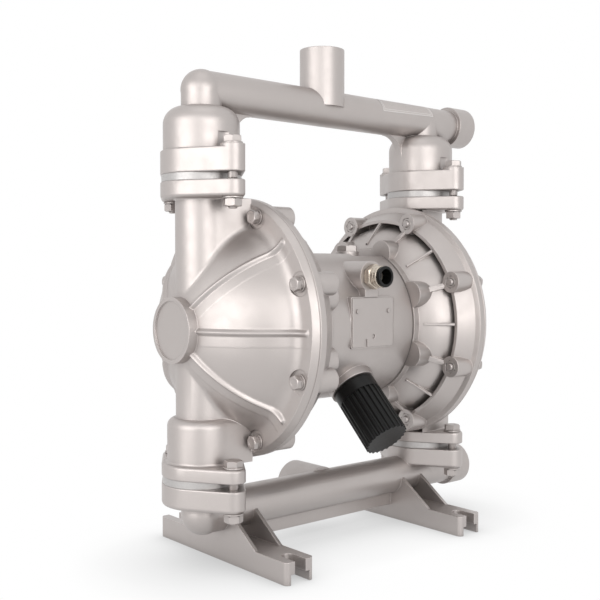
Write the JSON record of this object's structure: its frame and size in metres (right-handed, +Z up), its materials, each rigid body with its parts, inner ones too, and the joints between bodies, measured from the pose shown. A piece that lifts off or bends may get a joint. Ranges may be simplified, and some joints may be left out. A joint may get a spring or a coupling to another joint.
{
  "type": "air operated diaphragm pump",
  "caption": "Metal air operated double diaphragm pump: two domed liquid chambers on a ribbed air section, ball valves, cross manifolds, feet, push-in air inlet and muffler.",
  "frame": {"origin": "on the floor, midway between the feet, under the diaphragm rod's middle", "axes": "+X along the diaphragm rod towards the plugged manifold ends, +Y to the rear, where the suction port points, +Z up"},
  "size_m": [0.4539, 0.277, 0.56],
  "materials": {
    "casting": "satin grey paint",
    "fastener": "satin grey paint",
    "seat": "turned",
    "rubber": "matte",
    "bearing": "matte",
    "inner_steel": "ground",
    "brass": "nickel plated",
    "black_plastic": "moulded",
    "gasket": "matte"
  },
  "bodies": {
    "pump": {"center_body": "casting", "air_chamber_left": "casting", "air_chamber_right": "casting", "fluid_chamber_left": "casting", "fluid_chamber_right": "casting", "discharge_manifold": "casting", "suction_manifold": "casting", "air_chamber_gaskets": "gasket", "air_chamber_screws": "inner_steel", "air_inlet_fitting": "brass", "tube_grip_ring": "inner_steel", "tube_o_ring": "rubber", "chamber_bolts": "fastener", "chamber_nuts": "fastener", "chamber_washers": "fastener", "manifold_bolts": "fastener", "manifold_nuts": "fastener", "manifold_washers": "fastener", "top_plug": "fastener", "discharge_plug": "fastener", "suction_plug": "fastener", "discharge_seat_left": "seat", "discharge_seat_right": "seat", "suction_seat_left": "seat", "suction_seat_right": "seat", "seat_o_rings": "rubber", "diaphragm_left": "rubber", "diaphragm_right": "rubber", "rod_bushings": "bearing", "rod_seals": "rubber", "pilot_bushings": "bearing", "valve_sleeve": "bearing", "valve_sleeve_seals": "rubber", "valve_end_plugs": "bearing", "muffler_nipple": "black_plastic", "muffler_body": "black_plastic", "nameplate": "casting", "nameplate_rivets": "fastener"},
    "rod": {"diaphragm_rod": "inner_steel", "inner_plate_left": "inner_steel", "inner_plate_right": "inner_steel", "outer_plate_left": "inner_steel", "outer_plate_right": "inner_steel", "plate_bolts": "inner_steel"},
    "pilot": {"pilot_rod": "inner_steel"},
    "spool": {"valve_spool": "inner_steel", "spool_seals": "rubber"},
    "discharge_left": {"discharge_ball_left": "rubber"},
    "discharge_right": {"discharge_ball_right": "rubber"},
    "suction_left": {"suction_ball_left": "rubber"},
    "suction_right": {"suction_ball_right": "rubber"},
    "collar": {"release_collar": "black_plastic"}
  },
  "joints": [
    {"name": "rod_stroke", "type": "slide", "parent": "pump", "child": "rod", "axis": [1, 0, 0], "range_m": [-0.018, 0.018], "deforming": ["diaphragm_left", "diaphragm_right"]},
    {"name": "pilot_slide", "type": "slide", "parent": "pump", "child": "pilot", "axis": [1, 0, 0], "range_m": [-0.006, 0.006]},
    {"name": "valve_spool_slide", "type": "slide", "parent": "pump", "child": "spool", "axis": [1, 0, 0], "range_m": [-0.008, 0.008]},
    {"name": "suction_ball_left_lift", "type": "slide", "parent": "pump", "child": "suction_left", "axis": [0, 0, 1], "range_m": [0, 0.012]},
    {"name": "suction_ball_right_lift", "type": "slide", "parent": "pump", "child": "suction_right", "axis": [0, 0, 1], "range_m": [0, 0.012]},
    {"name": "discharge_ball_left_lift", "type": "slide", "parent": "pump", "child": "discharge_left", "axis": [0, 0, 1], "range_m": [0, 0.012]},
    {"name": "discharge_ball_right_lift", "type": "slide", "parent": "pump", "child": "discharge_right", "axis": [0, 0, 1], "range_m": [0, 0.012]},
    {"name": "release_collar_press", "type": "slide", "parent": "pump", "child": "collar", "axis": [0, 1, 0], "range_m": [0, 0.0015], "stiffness_N_per_m": 2000}
  ],
  "couplings": [
    {"joint": "pilot_slide", "follows": "rod_stroke", "ratio": 0.33333}
  ]
}
